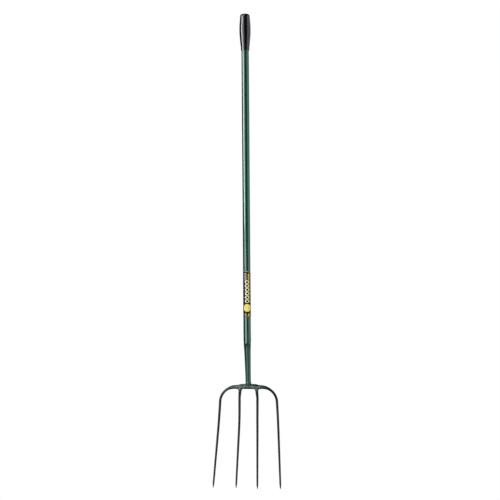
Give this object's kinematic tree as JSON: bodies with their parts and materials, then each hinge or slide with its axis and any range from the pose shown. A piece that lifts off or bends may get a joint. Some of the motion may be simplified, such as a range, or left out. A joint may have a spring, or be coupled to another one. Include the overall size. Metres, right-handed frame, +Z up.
{
  "type": "manure fork",
  "caption": "Long-handled manure fork: curved pointed steel tines welded to a forged crosshead, on a bent and swaged tubular steel shaft with a moulded end grip.",
  "frame": {"origin": "middle of the flat land under the crosshead, between the inner tines, where the fork hangs in a rack", "axes": "+Z up the shaft to the grip, +X across the head (to the right seen from the hollow side of the tines), -Y the hollow side"},
  "size_m": [0.2327, 0.0761, 1.6075],
  "materials": {
    "shaft_paint": "glossy dark green powder coat on steel tube",
    "head_paint": "darker green, thinner and duller coat on forged steel",
    "grip_plastic": "black moulded plastic, semi-gloss",
    "label_print": "printed film, black ground with a cream and gold motif"
  },
  "bodies": {
    "root": {"grip": "grip_plastic", "shaft_tube": "shaft_paint", "shaft_label": "label_print", "crosshead": "head_paint", "weld_foot": "head_paint", "tine_outer_left": "head_paint", "tine_outer_right": "head_paint", "tine_inner_left": "head_paint", "tine_inner_right": "head_paint", "weld_outer_left": "head_paint", "weld_outer_right": "head_paint", "weld_inner_left": "head_paint", "weld_inner_right": "head_paint"}
  },
  "joints": []
}
